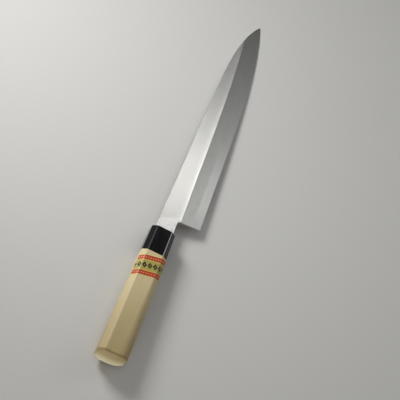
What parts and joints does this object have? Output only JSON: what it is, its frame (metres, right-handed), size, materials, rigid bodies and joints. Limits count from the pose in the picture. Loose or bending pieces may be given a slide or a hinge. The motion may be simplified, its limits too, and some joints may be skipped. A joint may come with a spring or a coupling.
{
  "type": "yanagiba knife",
  "caption": "Single-bevel slicing knife: long slender blade with a hollow-ground back, black ferrule, tapered octagonal wooden handle and a paper label.",
  "frame": {"origin": "middle of the bottom of the knife's box", "axes": "+Y along the handle's axis to the tip, +X to the cutting edge, +Z out of the bevelled face"},
  "size_m": [0.0434, 0.3884, 0.0215],
  "materials": {
    "blade_iron": "satin ground along and across the blade",
    "edge_steel": "fine stone finish",
    "black_horn": "polished",
    "pale_wood": "bare, sanded smooth",
    "label_paper": "printed, slight sheen"
  },
  "bodies": {
    "root": {"blade_iron": "blade_iron", "edge_steel": "edge_steel", "ferrule": "black_horn", "handle_wood": "pale_wood", "paper_label": "label_paper"}
  },
  "joints": []
}
